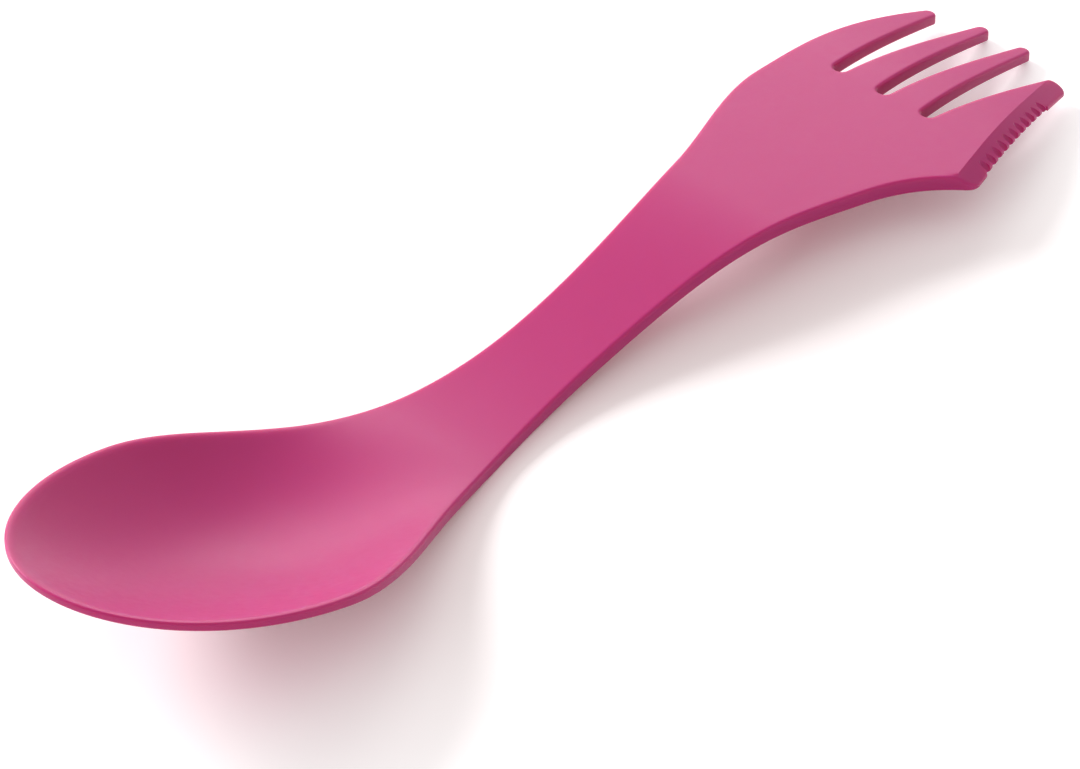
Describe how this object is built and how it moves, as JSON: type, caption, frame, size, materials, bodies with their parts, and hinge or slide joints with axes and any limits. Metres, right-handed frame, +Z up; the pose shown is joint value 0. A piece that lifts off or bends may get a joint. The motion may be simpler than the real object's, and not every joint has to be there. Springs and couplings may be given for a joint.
{
  "type": "spork",
  "caption": "Curved one-piece plastic spork with a dished spoon at one end, and at the other a fork whose outer tine has a bevelled, serrated cutting edge.",
  "frame": {"origin": "middle of the outline as seen from above, at the height of the table it lies on", "axes": "+X from the spoon's end to the fork's, +Y away from the knife's edge, +Z up from the table"},
  "size_m": [0.17, 0.0399, 0.0201],
  "materials": {
    "body_plastic": "satin"
  },
  "bodies": {
    "root": {"spork": "body_plastic"}
  },
  "joints": []
}
